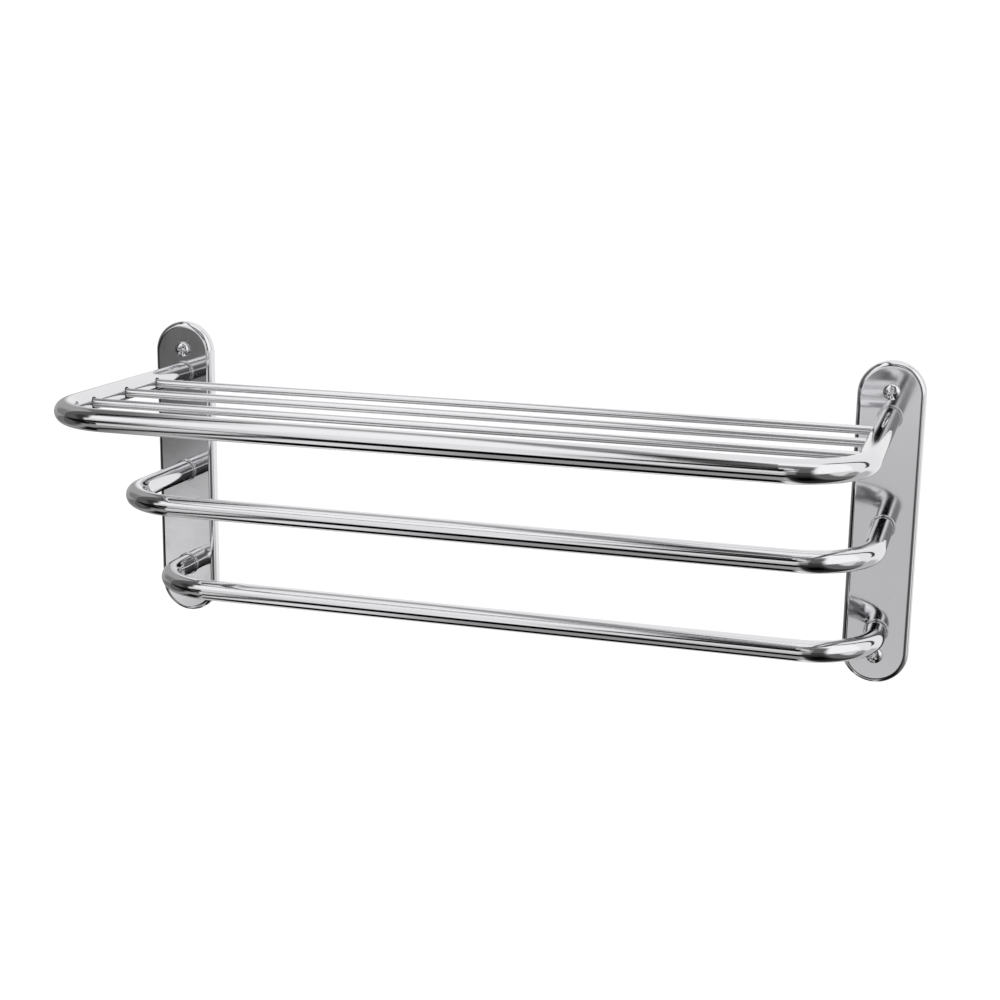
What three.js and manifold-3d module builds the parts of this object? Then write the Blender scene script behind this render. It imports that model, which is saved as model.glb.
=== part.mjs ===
// Wall-mounted towel rack: two pressed wall plates carry a shelf of round rods and two towel bars,
// all of bent tube. Everything is drawn in millimetres with x across the rack, y up and z out from
// the wall. The whole rack is then turned so that +Z is up and the wall is the plane y = 0.
// The origin is on the wall, midway between the two plates.
import * as THREE from 'three';
import { mergeVertices } from 'three/addons/utils/BufferGeometryUtils.js';
import Module from 'manifold-3d';

// ---------------------------------------------------------------- driving dimensions
const plateSpacing = 560; // between the centre lines of the two wall plates
const plateWidth = 49;
const plateHeight = 241;
const plateDepth = 8; // how far the flat front of a plate stands off the wall
const plateEdgeRadius = 3;
const sheetThickness = 1.2;
const stiffenerThickness = 2;
const stiffenerMargin = 4; // from the edge of the plate to the edge of the stiffener

const tubeDiameter = 16;
const tubeWall = 1.2;
const bendRadius = 50; // to the middle of the tube

// A tier's reach is from the wall to the middle of its front run of tube.
const tiers = [
  { name: 'shelf', tube: 'shelf_frame_tube', height: 80, reach: 225 },
  { name: 'middle_bar', tube: 'middle_bar_tube', height: -1, reach: 128 },
  { name: 'lower_bar', tube: 'lower_bar_tube', height: -80, reach: 75 },
];

const rodDiameter = 6.4;
const rodEntry = 3; // how far a rod's end goes into the side of the arm
const rods = [
  { name: 'shelf_rod_rear', reach: 66 },
  { name: 'shelf_rod_middle', reach: 114 },
  { name: 'shelf_rod_front', reach: 162 },
];

const collarDiameter = 19;
const collarThickness = 2;
const collarEdgeRadius = 0.9;
const plugLength = 16;
const plugTappedDepth = 13;

const fixingThread = 4; // M4 screws hold the tubes from inside the plates
const fixingHeadDiameter = 7.6;
const fixingHeadHeight = 2.2;
const fixingHexSize = 2.5; // across flats
const fixingEngagement = 11;
const washerDiameter = 7.6;
const washerThickness = 0.9;
const splitWidth = 0.8;
const splitSlant = 0.5; // radians

const wallScrewDiameter = 6;
const wallScrewLength = 40; // under the head
const wallScrewPoint = 7;
const wallScrewHeadDiameter = 12;
const wallScrewHeadHeight = 3.8;
const wallScrewHeadEdge = 1; // straight side of the head, below its dome
const crossWidth = 1.5;
const crossSpan = 6.6;
const crossDepth = 2;
const wallScrewHeight = 98.5; // above and below the middle of the plate
const wallScrews = [
  { name: 'upper', height: wallScrewHeight, turn: { left: 0.35, right: -0.15 } },
  { name: 'lower', height: -wallScrewHeight, turn: { left: -0.5, right: 0.7 } },
];

const gap = 0.3; // between pieces that touch, and around a screw in its hole
const roundSegments = 16; // sides of a tube, rod or screw head
const smallSegments = 12; // sides of the pieces inside a plate or a tube
const plateArcSegments = 7; // half the sides of each round end of a plate
const bendSteps = 7; // straight pieces in each bend of a tube

const armOffset = plateSpacing / 2;
const tubeRadius = tubeDiameter / 2;
const onPlate = plateDepth + gap; // where what stands on a plate begins
const sides = [
  { name: 'left', x: -armOffset },
  { name: 'right', x: armOffset },
];

// ---------------------------------------------------------------- materials
const polishedChrome = { color: 0xe6e8ea, roughness: 0.06, metalness: 1 };
const zincPlatedSteel = { color: 0xb4b6b2, roughness: 0.42, metalness: 1 };

// ---------------------------------------------------------------- booleans
const wasm = await Module();
wasm.setup();

/** A closed geometry as a manifold solid, without the slivers that a lathe leaves on its axis. */
function toSolid(geometry) {
  const bare = geometry.clone();
  bare.deleteAttribute('normal');
  bare.deleteAttribute('uv');
  const merged = mergeVertices(bare, 1e-3);
  const corners = merged.index.array;
  const kept = [];
  for (let i = 0; i < corners.length; i += 3) {
    const [a, b, c] = corners.slice(i, i + 3);
    if (a !== b && b !== c && c !== a) kept.push(a, b, c);
  }
  const vertProperties = merged.getAttribute('position').array;
  return new wasm.Manifold(new wasm.Mesh({ numProp: 3, vertProperties, triVerts: Uint32Array.from(kept) }));
}

/** The geometry of a manifold solid. */
function toGeometry(solid) {
  const mesh = solid.getMesh();
  const geometry = new THREE.BufferGeometry();
  geometry.setAttribute('position', new THREE.BufferAttribute(mesh.vertProperties, mesh.numProp));
  geometry.setIndex(new THREE.BufferAttribute(mesh.triVerts, 1));
  geometry.computeVertexNormals();
  return geometry;
}

/** A geometry with every geometry in the list taken out of it. */
function cutFrom(geometry, cutters) {
  let solid = toSolid(geometry);
  for (const cutter of cutters) solid = solid.subtract(toSolid(cutter));
  return toGeometry(solid);
}

// ---------------------------------------------------------------- shared shapes
/** An outline with straight sides and round ends. */
function stadium(width, height) {
  const radius = width / 2;
  const arcCentre = height / 2 - radius;
  const outline = new THREE.Shape();
  outline.absarc(0, arcCentre, radius, 0, Math.PI);
  outline.absarc(0, -arcCentre, radius, Math.PI, 2 * Math.PI);
  return outline;
}

/** A round hole's outline. */
function roundHole(radius, x, y) {
  return new THREE.Path().absarc(x, y, radius, 0, 2 * Math.PI, true);
}

/** A round bar along z. */
function bar(radius, from, to, segments = roundSegments) {
  const length = to - from;
  const cylinder = new THREE.CylinderGeometry(radius, radius, length, segments);
  return cylinder.rotateX(Math.PI / 2).translate(0, 0, from + length / 2);
}

/** A turned piece around z, from (radius, z) points listed with the material on the left of the line. */
function turned(profile, segments = roundSegments) {
  const points = profile.map(([radius, z]) => new THREE.Vector2(radius, z));
  return new THREE.LatheGeometry(points, segments).rotateX(Math.PI / 2);
}

/** Points of a quarter-round edge that goes from its widest point to its highest. */
function quarterRound(centreRadius, centreZ, width, height, steps) {
  return Array.from({ length: steps + 1 }, (_, i) => {
    const angle = (i / steps) * (Math.PI / 2);
    return [centreRadius + width * Math.cos(angle), centreZ + height * Math.sin(angle)];
  });
}

/** Where the screws pass through a plate: the radius and height of each hole on its centre line. */
function plateHoles() {
  const fixingHoles = tiers.map(({ height }) => ({ radius: fixingThread / 2 + gap, height }));
  const wallHoles = wallScrews.map(({ height }) => ({ radius: wallScrewDiameter / 2 + gap, height }));
  return [...fixingHoles, ...wallHoles];
}

// ---------------------------------------------------------------- wall plates
/** A solid pan with a rolled front edge, drawn in from the plate's outside by the inset. */
function panForm(inset) {
  const edge = plateEdgeRadius - inset;
  const outline = stadium(plateWidth - 2 * inset, plateHeight - 2 * inset);
  return new THREE.ExtrudeGeometry(outline, {
    depth: plateDepth - inset - edge,
    bevelThickness: edge,
    bevelSize: edge,
    bevelOffset: -edge,
    bevelSegments: 3,
    curveSegments: plateArcSegments,
  });
}

/** The pressed cover: a thin pan, open at the wall, with holes on its centre line. */
function wallPlateCover() {
  const room = new THREE.BoxGeometry(plateWidth * 2, plateHeight * 2, plateDepth * 2);
  const inFrontOfWall = room.translate(0, 0, plateDepth);
  const outside = toSolid(panForm(0)).intersect(toSolid(inFrontOfWall));
  const inside = toSolid(panForm(sheetThickness));
  const drill = (radius) => bar(radius, 0, plateDepth * 2, smallSegments);
  const holes = plateHoles().map(({ radius, height }) => drill(radius).translate(0, height, 0));
  return cutFrom(toGeometry(outside.subtract(inside)), holes);
}

/** The flat steel strip behind the front of the cover, which spreads the load of the arms. */
function stiffenerPlate() {
  const outline = stadium(plateWidth - 2 * stiffenerMargin, plateHeight - 2 * stiffenerMargin);
  outline.holes = plateHoles().map(({ radius, height }) => roundHole(radius, 0, height));
  return new THREE.ExtrudeGeometry(outline, {
    depth: stiffenerThickness,
    bevelEnabled: false,
    curveSegments: plateArcSegments,
  });
}

// ---------------------------------------------------------------- bent tubes
/** The middle line of a tube, out of one plate, along the front and back to the other plate. */
class HairpinPath extends THREE.Curve {
  constructor(height, start, reach) {
    super();
    const station = (x, z, angle) => ({
      point: new THREE.Vector3(x, height, z),
      tangent: new THREE.Vector3(Math.sin(angle), 0, -Math.cos(angle)),
    });
    const bend = (centre, from, to) =>
      Array.from({ length: bendSteps + 1 }, (_, i) => {
        const angle = from + (i / bendSteps) * (to - from);
        const out = reach - bendRadius + bendRadius * Math.sin(angle);
        return station(centre + bendRadius * Math.cos(angle), out, angle);
      });
    const bendCentre = armOffset - bendRadius;
    this.stations = [
      station(-armOffset, start, Math.PI),
      ...bend(-bendCentre, Math.PI, Math.PI / 2),
      ...bend(bendCentre, Math.PI / 2, 0),
      station(armOffset, start, 0),
    ];
  }

  get steps() {
    return this.stations.length - 1;
  }

  getPointAt(u, target = new THREE.Vector3()) {
    return target.copy(this.stations[Math.round(u * this.steps)].point);
  }

  getTangentAt(u, target = new THREE.Vector3()) {
    return target.copy(this.stations[Math.round(u * this.steps)].tangent);
  }
}

/** A tube of the rack's one size, bent to the tier's height and reach. */
function bentTube({ height, reach }) {
  const section = new THREE.Shape().absarc(0, 0, tubeRadius, 0, 2 * Math.PI);
  section.holes = [roundHole(tubeRadius - tubeWall, 0, 0)];
  const path = new HairpinPath(height, onPlate, reach);
  return new THREE.ExtrudeGeometry(section, {
    steps: path.steps,
    extrudePath: path,
    curveSegments: roundSegments / 2,
  });
}

/** The same tube with a hole in the inside of each arm for every shelf rod. */
function drilledTube(tier) {
  const halfCut = armOffset - tubeRadius + rodEntry + 1;
  const drill = bar(rodDiameter / 2 + gap, -halfCut, halfCut).rotateY(Math.PI / 2);
  const drills = rods.map(({ reach }) => drill.clone().translate(0, tier.height, reach));
  return cutFrom(bentTube(tier), drills);
}

/** A shelf rod, from inside one arm to inside the other. */
function shelfRod() {
  const halfLength = armOffset - tubeRadius + rodEntry;
  return bar(rodDiameter / 2, -halfLength, halfLength).rotateY(Math.PI / 2);
}

// ---------------------------------------------------------------- what joins a tube to a plate
/** The thin ring that covers the joint between an arm and its plate. */
function collar() {
  const inner = tubeRadius + gap;
  const outer = collarDiameter / 2;
  const round = collarEdgeRadius;
  const edge = quarterRound(outer - round, collarThickness - round, round, round, 2);
  return turned([[inner, 0], [outer, 0], ...edge, [inner, collarThickness], [inner, 0]]);
}

/** The tapped plug in the end of an arm, open towards the wall. */
function endPlug() {
  const outer = tubeRadius - tubeWall - gap;
  const bore = fixingThread / 2 + gap;
  const hole = [[0, plugTappedDepth], [bore, plugTappedDepth], [bore, 0]];
  return turned([...hole, [outer, 0], [outer, plugLength], [0, plugLength]], smallSegments);
}

/** The screw that draws an arm to its plate: a low round head with a hexagon socket, on the wall side. */
function fixingScrew(length) {
  const head = fixingHeadDiameter / 2;
  const shank = fixingThread / 2;
  const flat = head * 0.55;
  const dome = quarterRound(flat, fixingHeadHeight, head - flat, -fixingHeadHeight, 2).reverse();
  const tip = [[shank, length - 1], [shank - 0.6, length], [0, length]];
  const body = turned([[0, 0], ...dome, [shank, fixingHeadHeight], ...tip], smallSegments);
  const socketDepth = fixingHeadHeight * 0.6;
  const socket = bar(fixingHexSize / Math.sqrt(3), -socketDepth, socketDepth, 6);
  return cutFrom(body, [socket]);
}

/** The split spring washer under the fixing screw's head. */
function lockWasher() {
  const inner = fixingThread / 2 + gap;
  const outer = washerDiameter / 2;
  const top = washerThickness;
  const ring = turned([[inner, 0], [outer, 0], [outer, top], [inner, top], [inner, 0]], smallSegments);
  const split = new THREE.BoxGeometry(outer, splitWidth, top * 4).rotateX(splitSlant);
  return cutFrom(ring, [split.translate(outer * 0.85, 0, top / 2)]);
}

// ---------------------------------------------------------------- wall screws
/** A pan-head screw with a cross recess, its head's underside at z = 0 and its point towards the wall. */
function wallScrew(turn) {
  const shank = wallScrewDiameter / 2;
  const head = wallScrewHeadDiameter / 2;
  const dome = quarterRound(0, wallScrewHeadEdge, head, wallScrewHeadHeight - wallScrewHeadEdge, 4);
  const shoulder = -wallScrewLength + wallScrewPoint;
  const body = turned([[0, -wallScrewLength], [shank, shoulder], [shank, 0], [head, 0], ...dome]);
  const slot = new THREE.BoxGeometry(crossSpan, crossWidth, crossDepth * 2);
  slot.translate(0, 0, wallScrewHeadHeight);
  return cutFrom(body, [slot, slot.clone().rotateZ(Math.PI / 2)]).rotateZ(turn);
}

// ---------------------------------------------------------------- assembly
const rack = new THREE.Group();
rack.rotation.x = Math.PI / 2;

/** Adds a named piece to the rack. */
function place(name, geometry, finish, x = 0, y = 0, z = 0) {
  const mesh = new THREE.Mesh(geometry, new THREE.MeshStandardMaterial(finish));
  mesh.name = name;
  mesh.position.set(x, y, z);
  rack.add(mesh);
}

const stiffenerBack = plateDepth - sheetThickness - gap - stiffenerThickness;
const washerBack = stiffenerBack - gap - washerThickness;
const fixingHeadBack = washerBack - gap - fixingHeadHeight;
const fixingLength = onPlate + fixingEngagement - fixingHeadBack;

for (const side of sides) {
  place(`${side.name}_plate_cover`, wallPlateCover(), polishedChrome, side.x);
  place(`${side.name}_stiffener_plate`, stiffenerPlate(), zincPlatedSteel, side.x, 0, stiffenerBack);
  for (const tier of tiers) {
    const joint = `${side.name}_${tier.name}`;
    place(`${joint}_collar`, collar(), polishedChrome, side.x, tier.height, onPlate);
    place(`${joint}_end_plug`, endPlug(), zincPlatedSteel, side.x, tier.height, onPlate);
    const screw = fixingScrew(fixingLength);
    place(`${joint}_fixing_screw`, screw, zincPlatedSteel, side.x, tier.height, fixingHeadBack);
    place(`${joint}_lock_washer`, lockWasher(), zincPlatedSteel, side.x, tier.height, washerBack);
  }
  for (const screw of wallScrews) {
    const geometry = wallScrew(screw.turn[side.name]);
    place(`${side.name}_${screw.name}_wall_screw`, geometry, polishedChrome, side.x, screw.height, onPlate);
  }
}

const [shelf, ...bars] = tiers;
place(shelf.tube, drilledTube(shelf), polishedChrome);
for (const tier of bars) place(tier.tube, bentTube(tier), polishedChrome);
for (const rod of rods) place(rod.name, shelfRod(), polishedChrome, 0, shelf.height, rod.reach);

export default rack;
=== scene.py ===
# Wall-mounted towel rack: two pressed wall plates carry a shelf of round rods and two towel bars,
# all of bent tube, polished and chrome plated. Metres, +Z up, and the wall is the plane y = 0.
import math

import bmesh
import bpy
import numpy as np
from mathutils import Matrix, Vector


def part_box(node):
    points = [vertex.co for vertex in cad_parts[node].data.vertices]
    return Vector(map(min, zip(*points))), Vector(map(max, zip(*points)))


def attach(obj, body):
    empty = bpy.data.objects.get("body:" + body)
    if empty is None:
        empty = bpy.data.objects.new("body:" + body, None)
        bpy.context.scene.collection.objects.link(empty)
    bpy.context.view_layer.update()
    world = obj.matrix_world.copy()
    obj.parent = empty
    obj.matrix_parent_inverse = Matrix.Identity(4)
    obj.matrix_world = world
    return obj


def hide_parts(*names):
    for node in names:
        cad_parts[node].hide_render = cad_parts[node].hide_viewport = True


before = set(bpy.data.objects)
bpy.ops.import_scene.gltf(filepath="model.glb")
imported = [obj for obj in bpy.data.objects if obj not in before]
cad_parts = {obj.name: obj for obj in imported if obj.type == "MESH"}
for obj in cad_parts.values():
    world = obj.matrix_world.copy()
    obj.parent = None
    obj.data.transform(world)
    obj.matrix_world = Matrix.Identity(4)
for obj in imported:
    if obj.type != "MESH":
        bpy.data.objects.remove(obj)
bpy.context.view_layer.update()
scene = bpy.context.scene


# ---------------------------------------------------------------- wall plates
# Each plate is a pan pressed from thin steel: a flat front with round ends, a rolled edge and a
# short wall that stands on the tiles. It is buffed and chrome plated, and pierced for five screws.
SHEET = 0.0012
ROLLED_EDGE = 0.004
ROLL_STEPS = 12
END_SEGMENTS = 48  # sides of each round end
HOLE_SIDES = 32
SHADING_LIP = 0.00025  # a narrow flat strip beside a curve keeps the flat next to it truly flat
FIXING_HOLE = 0.0023
WALL_SCREW_HOLE = 0.0033


def middle_of(node):
    low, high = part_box(node)
    return (low + high) / 2


def stadium(centre, width, height, y, inset=0.0):
    """Points anticlockwise, seen from the front, round an outline with straight sides and round ends."""
    radius = width / 2 - inset
    rise = (height - width) / 2
    points = []
    for end, start in ((rise, 0.0), (-rise, math.pi)):
        for step in range(END_SEGMENTS + 1):
            angle = start + math.pi * step / END_SEGMENTS
            x = centre.x + radius * math.cos(angle)
            z = centre.z + end + radius * math.sin(angle)
            points.append((x, y, z))
    return points


def circle_points(x, z, y, radius, sides):
    turns = [2 * math.pi * side / sides for side in range(sides)]
    return [(x + radius * math.cos(turn), y, z + radius * math.sin(turn)) for turn in turns]


def add_loop(mesh, points):
    """A closed ring of edges, given back as its corners."""
    corners = [mesh.verts.new(point) for point in points]
    for a, b in zip(corners, corners[1:] + corners[:1]):
        mesh.edges.new((a, b))
    return corners


def skin(mesh, first, second):
    """A band of faces between two rings with as many corners."""
    count = len(first)
    for i in range(count):
        j = (i + 1) % count
        mesh.faces.new((first[i], first[j], second[j], second[i]))


def fill_flat(mesh, *loops):
    """Flat faces between an outline and the outlines of the holes in it."""
    edges = [mesh.edges.get((a, b)) for loop in loops for a, b in zip(loop, loop[1:] + loop[:1])]
    bmesh.ops.triangle_fill(mesh, edges=edges, use_beauty=True)


def finished(mesh, name, material, sharp_angle=35.0):
    """A bmesh made an object, with its faces outwards, smooth but for its real corners."""
    bmesh.ops.recalc_face_normals(mesh, faces=mesh.faces)
    data = bpy.data.meshes.new(name)
    mesh.to_mesh(data)
    mesh.free()
    data.shade_smooth()
    data.set_sharp_from_angle(angle=math.radians(sharp_angle))
    data.materials.append(material)
    piece = bpy.data.objects.new(name, data)
    scene.collection.objects.link(piece)
    return piece


def stands_for(piece, slot, *nodes):
    """The piece rides on the rack and stands for those nodes, which are hidden. The slot is not used."""
    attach(piece, "root")
    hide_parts(*nodes)


def buffed_chrome(name, grain, haze_range=(0.028, 0.065), attribute=None, metallic=1.0):
    """Bright chrome over buffed steel: a thin haze, a few specks, and fine lines left by buffing.

    The grain is how closely the lines follow one another along each axis.
    """
    material = bpy.data.materials.new(name)
    material.use_nodes = True
    nodes = material.node_tree.nodes
    links = material.node_tree.links
    shader = nodes["Principled BSDF"]
    shader.inputs["Metallic"].default_value = metallic
    if attribute:
        place = nodes.new("ShaderNodeAttribute")
        place.attribute_name = attribute
        here = place.outputs["Vector"]
    else:
        place = nodes.new("ShaderNodeTexCoord")
        here = place.outputs["Object"]

    haze = nodes.new("ShaderNodeTexNoise")
    haze.inputs["Scale"].default_value = 38.0
    haze.inputs["Detail"].default_value = 5.0
    links.new(here, haze.inputs["Vector"])

    stretch = nodes.new("ShaderNodeMapping")
    stretch.vector_type = "POINT"
    stretch.inputs["Scale"].default_value = grain
    links.new(here, stretch.inputs["Vector"])
    lines = nodes.new("ShaderNodeTexNoise")
    lines.inputs["Scale"].default_value = 1.0
    lines.inputs["Detail"].default_value = 3.0
    links.new(stretch.outputs["Vector"], lines.inputs["Vector"])

    specks = nodes.new("ShaderNodeTexVoronoi")
    specks.inputs["Scale"].default_value = 90.0
    links.new(here, specks.inputs["Vector"])
    speck = nodes.new("ShaderNodeMapRange")
    speck.inputs["From Min"].default_value = 0.03
    speck.inputs["From Max"].default_value = 0.055
    speck.inputs["To Min"].default_value = 0.22
    speck.inputs["To Max"].default_value = 0.0
    links.new(specks.outputs["Distance"], speck.inputs["Value"])

    haze_part = nodes.new("ShaderNodeMapRange")
    haze_part.inputs["From Min"].default_value = 0.42
    haze_part.inputs["From Max"].default_value = 0.72
    haze_part.inputs["To Min"].default_value = haze_range[0]
    haze_part.inputs["To Max"].default_value = haze_range[1]
    links.new(haze.outputs["Fac"], haze_part.inputs["Value"])
    lines_part = nodes.new("ShaderNodeMath")
    lines_part.operation = "MULTIPLY_ADD"
    lines_part.inputs[1].default_value = 0.03
    links.new(lines.outputs["Fac"], lines_part.inputs[0])
    links.new(haze_part.outputs["Result"], lines_part.inputs[2])
    rough = nodes.new("ShaderNodeMath")
    rough.operation = "ADD"
    links.new(lines_part.outputs["Value"], rough.inputs[0])
    links.new(speck.outputs["Result"], rough.inputs[1])
    links.new(rough.outputs["Value"], shader.inputs["Roughness"])

    tint = nodes.new("ShaderNodeValToRGB")
    tint.color_ramp.elements[0].color = (0.868, 0.863, 0.882, 1.0)
    tint.color_ramp.elements[1].color = (0.842, 0.837, 0.858, 1.0)
    links.new(haze.outputs["Fac"], tint.inputs["Fac"])
    links.new(tint.outputs["Color"], shader.inputs["Base Color"])

    swell = nodes.new("ShaderNodeBump")
    swell.inputs["Strength"].default_value = 0.06
    swell.inputs["Distance"].default_value = 0.0006
    links.new(haze.outputs["Fac"], swell.inputs["Height"])
    scuff = nodes.new("ShaderNodeBump")
    scuff.inputs["Strength"].default_value = 0.05
    scuff.inputs["Distance"].default_value = 0.00002
    links.new(lines.outputs["Fac"], scuff.inputs["Height"])
    links.new(swell.outputs["Normal"], scuff.inputs["Normal"])
    links.new(scuff.outputs["Normal"], shader.inputs["Normal"])
    return material


PLATE_GRAIN = (60.0, 60.0, 900.0)  # the plates are buffed crosswise
plate_chrome = buffed_chrome("plate_chrome", PLATE_GRAIN, haze_range=(0.055, 0.095))
TIERS = ("shelf", "middle_bar", "lower_bar")

for side in ("left", "right"):
    low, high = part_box(f"{side}_plate_cover")
    centre = (low + high) / 2
    width = high.x - low.x
    height = high.z - low.z
    front = low.y
    shoulder = front + ROLLED_EDGE  # where the roll starts, seen from the wall
    holes = [(middle_of(f"{side}_{tier}_fixing_screw"), FIXING_HOLE) for tier in TIERS]
    holes += [(middle_of(f"{side}_{level}_wall_screw"), WALL_SCREW_HOLE) for level in ("upper", "lower")]

    pan = bmesh.new()
    shells = []
    for inset, roll in ((0.0, ROLLED_EDGE), (SHEET, ROLLED_EDGE - SHEET)):
        stations = [(inset, 0.0), (inset, shoulder + SHADING_LIP)]
        for step in range(ROLL_STEPS + 1):
            angle = math.pi / 2 * step / ROLL_STEPS
            stations.append((inset + roll * (1 - math.cos(angle)), shoulder - roll * math.sin(angle)))
        stations.append((ROLLED_EDGE + SHADING_LIP, shoulder - roll))
        rings = [add_loop(pan, stadium(centre, width, height, y, into)) for into, y in stations]
        for near, far in zip(rings, rings[1:]):
            skin(pan, near, far)
        edges_of_holes = [
            add_loop(pan, circle_points(at.x, at.z, shoulder - roll, radius, HOLE_SIDES))
            for at, radius in holes
        ]
        fill_flat(pan, rings[-1], *edges_of_holes)
        shells.append((rings[0], edges_of_holes))
    (outer_foot, outer_holes), (inner_foot, inner_holes) = shells
    skin(pan, outer_foot, inner_foot)
    for outer, inner in zip(outer_holes, inner_holes):
        skin(pan, outer, inner)
    plate = finished(pan, f"{side}_wall_plate", plate_chrome)
    stands_for(plate, "chrome_plate", f"{side}_plate_cover")


# ---------------------------------------------------------------- stiffener plates
# Behind each front lies a flat strip of zinc-plated steel with the same five holes. It spreads
# the pull of the arms over the thin pan, and shows only from the wall side.
STIFFENER_BEVEL = 0.0003


def zinc_plate(name):
    """Zinc-plated steel: dull and cool, with the cloudy spangle and fine grain of barrel plating."""
    material = bpy.data.materials.new(name)
    material.use_nodes = True
    nodes = material.node_tree.nodes
    links = material.node_tree.links
    shader = nodes["Principled BSDF"]
    shader.inputs["Metallic"].default_value = 1.0
    place = nodes.new("ShaderNodeTexCoord")
    cloud = nodes.new("ShaderNodeTexNoise")
    cloud.inputs["Scale"].default_value = 140.0
    cloud.inputs["Detail"].default_value = 6.0
    links.new(place.outputs["Object"], cloud.inputs["Vector"])
    spangle = nodes.new("ShaderNodeTexVoronoi")
    spangle.inputs["Scale"].default_value = 420.0
    links.new(place.outputs["Object"], spangle.inputs["Vector"])
    colours = nodes.new("ShaderNodeValToRGB")
    colours.color_ramp.elements[0].position = 0.35
    colours.color_ramp.elements[0].color = (0.36, 0.375, 0.39, 1.0)
    colours.color_ramp.elements[1].position = 0.68
    colours.color_ramp.elements[1].color = (0.56, 0.57, 0.57, 1.0)
    links.new(cloud.outputs["Fac"], colours.inputs["Fac"])
    links.new(colours.outputs["Color"], shader.inputs["Base Color"])
    rough = nodes.new("ShaderNodeMapRange")
    rough.inputs["To Min"].default_value = 0.30
    rough.inputs["To Max"].default_value = 0.50
    links.new(spangle.outputs["Distance"], rough.inputs["Value"])
    links.new(rough.outputs["Result"], shader.inputs["Roughness"])
    grain = nodes.new("ShaderNodeBump")
    grain.inputs["Strength"].default_value = 0.25
    grain.inputs["Distance"].default_value = 0.00004
    links.new(cloud.outputs["Fac"], grain.inputs["Height"])
    links.new(grain.outputs["Normal"], shader.inputs["Normal"])
    return material


zinc_steel = zinc_plate("zinc_plated_steel")

for side in ("left", "right"):
    low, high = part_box(f"{side}_stiffener_plate")
    centre = (low + high) / 2
    holes = [(middle_of(f"{side}_{tier}_fixing_screw"), FIXING_HOLE) for tier in TIERS]
    holes += [(middle_of(f"{side}_{level}_wall_screw"), WALL_SCREW_HOLE) for level in ("upper", "lower")]
    strip = bmesh.new()
    stations = [
        (STIFFENER_BEVEL, low.y),
        (0.0, low.y + STIFFENER_BEVEL),
        (0.0, high.y - STIFFENER_BEVEL),
        (STIFFENER_BEVEL, high.y),
    ]
    rings = [
        add_loop(strip, stadium(centre, high.x - low.x, high.z - low.z, y, into)) for into, y in stations
    ]
    for near, far in zip(rings, rings[1:]):
        skin(strip, near, far)
    front_holes, back_holes = (
        [add_loop(strip, circle_points(at.x, at.z, y, radius, HOLE_SIDES)) for at, radius in holes]
        for y in (low.y, high.y)
    )
    fill_flat(strip, rings[0], *front_holes)
    fill_flat(strip, rings[-1], *back_holes)
    for near, far in zip(front_holes, back_holes):
        skin(strip, near, far)
    stiffener = finished(strip, f"{side}_stiffener", zinc_steel)
    stands_for(stiffener, "zinc_steel", f"{side}_stiffener_plate")


# ---------------------------------------------------------------- bent tubes
# Three hairpins of 16 mm steel tube, each bent twice to the same radius: the shelf's frame and the
# two bars. The shelf's frame is drilled on the inside of both arms before the rods are brazed in.
TUBE_WALL = 0.0012
BEND_RADIUS = 0.050
BEND_STEPS = 32
TUBE_SIDES = 64
ROD_HOLE = 0.0042  # the radius of the holes drilled for the rods
DRILL_DEPTH = 0.003  # past the near wall of the tube
ROUND_AGREEMENT = 0.8  # how nearly a face looks straight out, for it to belong to the round
RODS = ("shelf_rod_rear", "shelf_rod_middle", "shelf_rod_front")


def node_tree(name, floats=(), counts=(), objects=()):
    """A Geometry Nodes tree with named inputs, given back with its nodes, links and input node."""
    tree = bpy.data.node_groups.new(name, "GeometryNodeTree")
    tree.interface.new_socket("Geometry", in_out="INPUT", socket_type="NodeSocketGeometry")
    for socket in floats:
        tree.interface.new_socket(socket, in_out="INPUT", socket_type="NodeSocketFloat")
    for socket in counts:
        tree.interface.new_socket(socket, in_out="INPUT", socket_type="NodeSocketInt")
    for socket in objects:
        tree.interface.new_socket(socket, in_out="INPUT", socket_type="NodeSocketObject")
    tree.interface.new_socket("Material", in_out="INPUT", socket_type="NodeSocketMaterial")
    tree.interface.new_socket("Geometry", in_out="OUTPUT", socket_type="NodeSocketGeometry")
    return tree, tree.nodes, tree.links, tree.nodes.new("NodeGroupInput")


def close_tree(tree, given, geometry):
    """Ends a tree in Realize Instances and Set Material."""
    real = tree.nodes.new("GeometryNodeRealizeInstances")
    dress = tree.nodes.new("GeometryNodeSetMaterial")
    result = tree.nodes.new("NodeGroupOutput")
    tree.links.new(geometry, real.inputs["Geometry"])
    tree.links.new(real.outputs["Geometry"], dress.inputs["Geometry"])
    tree.links.new(given.outputs["Material"], dress.inputs["Material"])
    tree.links.new(dress.outputs["Geometry"], result.inputs["Geometry"])


def grown_from(name, tree, seed, values):
    """A plain mesh object, made by a tree from a small mesh."""
    source = bpy.data.objects.new(name + "_seed", seed)
    scene.collection.objects.link(source)
    modifier = source.modifiers.new(name, "NODES")
    modifier.node_group = tree
    for item in tree.interface.items_tree:
        if item.item_type == "SOCKET" and item.in_out == "INPUT" and item.name in values:
            modifier[item.identifier] = values[item.name]
    bpy.context.view_layer.update()
    evaluated = source.evaluated_get(bpy.context.evaluated_depsgraph_get())
    data = bpy.data.meshes.new_from_object(evaluated)
    source.modifiers.remove(modifier)
    bpy.data.objects.remove(source)
    data.name = name
    piece = bpy.data.objects.new(name, data)
    scene.collection.objects.link(piece)
    return piece


def grown(name, tree, vertices, edges, values):
    """A plain mesh object, made by a tree from a few vertices and edges."""
    seed = bpy.data.meshes.new(name + "_seed")
    seed.from_pydata(vertices, edges, [])
    return grown_from(name, tree, seed, values)


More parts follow.
